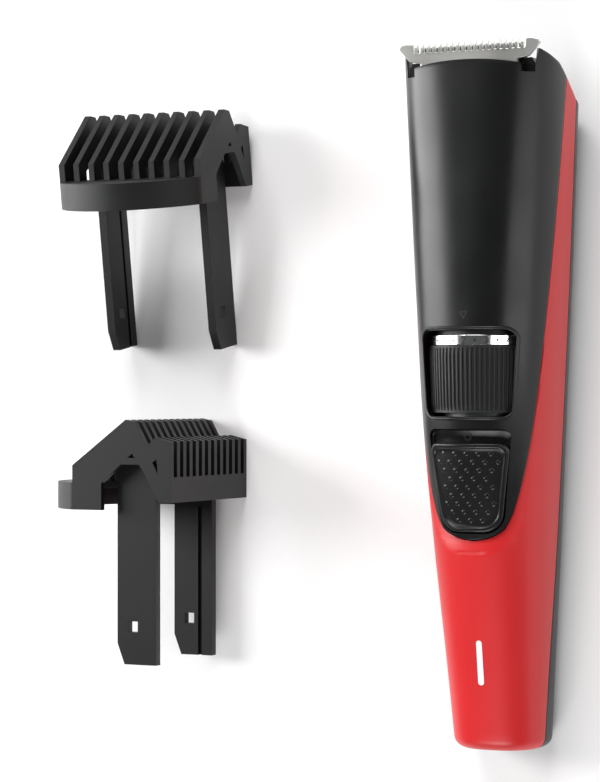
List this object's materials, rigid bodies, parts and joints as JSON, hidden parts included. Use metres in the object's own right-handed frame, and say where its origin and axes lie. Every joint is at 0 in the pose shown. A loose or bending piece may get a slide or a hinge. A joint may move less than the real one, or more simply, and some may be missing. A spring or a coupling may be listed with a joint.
{
  "type": "hair clipper",
  "caption": "Cordless hair clipper with a toothed steel blade, a ribbed length wheel, a sliding power button and clip-on guide combs lying beside it.",
  "frame": {"origin": "on the flat of the clipper's back, under the middle of its length", "axes": "+Y along the clipper towards the blade, +Z out of its front face, +X across it"},
  "size_m": [0.1291, 0.162, 0.039],
  "materials": {
    "black_plastic": "satin moulded",
    "red_plastic": "satin red moulded",
    "comb_plastic": "satin moulded",
    "grey_plastic": "moulded",
    "blade_steel": "ground",
    "cutter_steel": "ground",
    "spring_steel": "rolled",
    "chrome": "mirror plated",
    "screw_steel": "black oxide",
    "socket_steel": "stamped",
    "board_green": "solder mask",
    "chip_black": "moulded",
    "light_white": "clear white",
    "cell_wrap": "shrink sleeve",
    "nickel": "rolled strip",
    "motor_steel": "zinc plated",
    "rotor_steel": "laminated",
    "magnet": "sintered",
    "brass": "turned",
    "wire_black": "insulation"
  },
  "bodies": {
    "housing": {"front_panel": "black_plastic", "side_shell": "red_plastic", "back_shell": "black_plastic", "chassis": "grey_plastic", "casing_screws": "screw_steel", "circuit_board": "board_green", "board_chips": "chip_black", "charge_led": "light_white", "light_pipe": "light_white", "charging_socket": "socket_steel", "socket_tongue": "chip_black", "battery_cell": "cell_wrap", "cell_tabs": "nickel", "switch_body": "chip_black", "motor_can": "motor_steel", "motor_cap": "chip_black", "motor_magnets": "magnet", "motor_leads": "wire_black", "charge_leads": "wire_black", "blade_holder": "black_plastic", "blade_spring": "spring_steel", "blade_screws": "screw_steel", "fixed_blade": "blade_steel"},
    "button": {"power_button": "black_plastic", "switch_knob": "grey_plastic"},
    "wheel": {"zoom_wheel": "black_plastic", "scale_ring": "chrome"},
    "carriage": {"comb_carriage": "grey_plastic"},
    "rotor": {"motor_rotor": "rotor_steel", "eccentric": "brass"},
    "moving_blade": {"cutter": "cutter_steel", "cutter_driver": "grey_plastic"},
    "upper_comb": {"guide_comb_upper": "comb_plastic"},
    "lower_comb": {"guide_comb_lower": "comb_plastic"}
  },
  "joints": [
    {"name": "button_slide", "type": "slide", "parent": "housing", "child": "button", "axis": [0, 0.9884, 0.1518], "range_m": [0, 0.003]},
    {"name": "wheel_turn", "type": "hinge", "parent": "housing", "child": "wheel", "pos_m": [0, 0.0045, 0.0194], "axis": [0, -1, 0], "range_deg": [-48, 168]},
    {"name": "carriage_slide", "type": "slide", "parent": "housing", "child": "carriage", "axis": [0, 1, 0], "range_m": [-0.00201, 0.00701]},
    {"name": "motor_spin", "type": "hinge", "parent": "housing", "child": "rotor", "pos_m": [0, 0.048, 0.0144], "axis": [0, 1, 0], "continuous": true},
    {"name": "blade_stroke", "type": "slide", "parent": "housing", "child": "moving_blade", "axis": [1, 0, 0], "range_m": [-0.0009, 0.0009]},
    {"name": "upper_comb_lift", "type": "slide", "parent": "housing", "child": "upper_comb", "axis": [0, 0, 1], "range_m": [0, 0.06]},
    {"name": "lower_comb_lift", "type": "slide", "parent": "housing", "child": "lower_comb", "axis": [0, 0, 1], "range_m": [0, 0.06]}
  ],
  "couplings": [
    {"joint": "carriage_slide", "follows": "wheel_turn", "m_per_rad": 0.0023873}
  ]
}
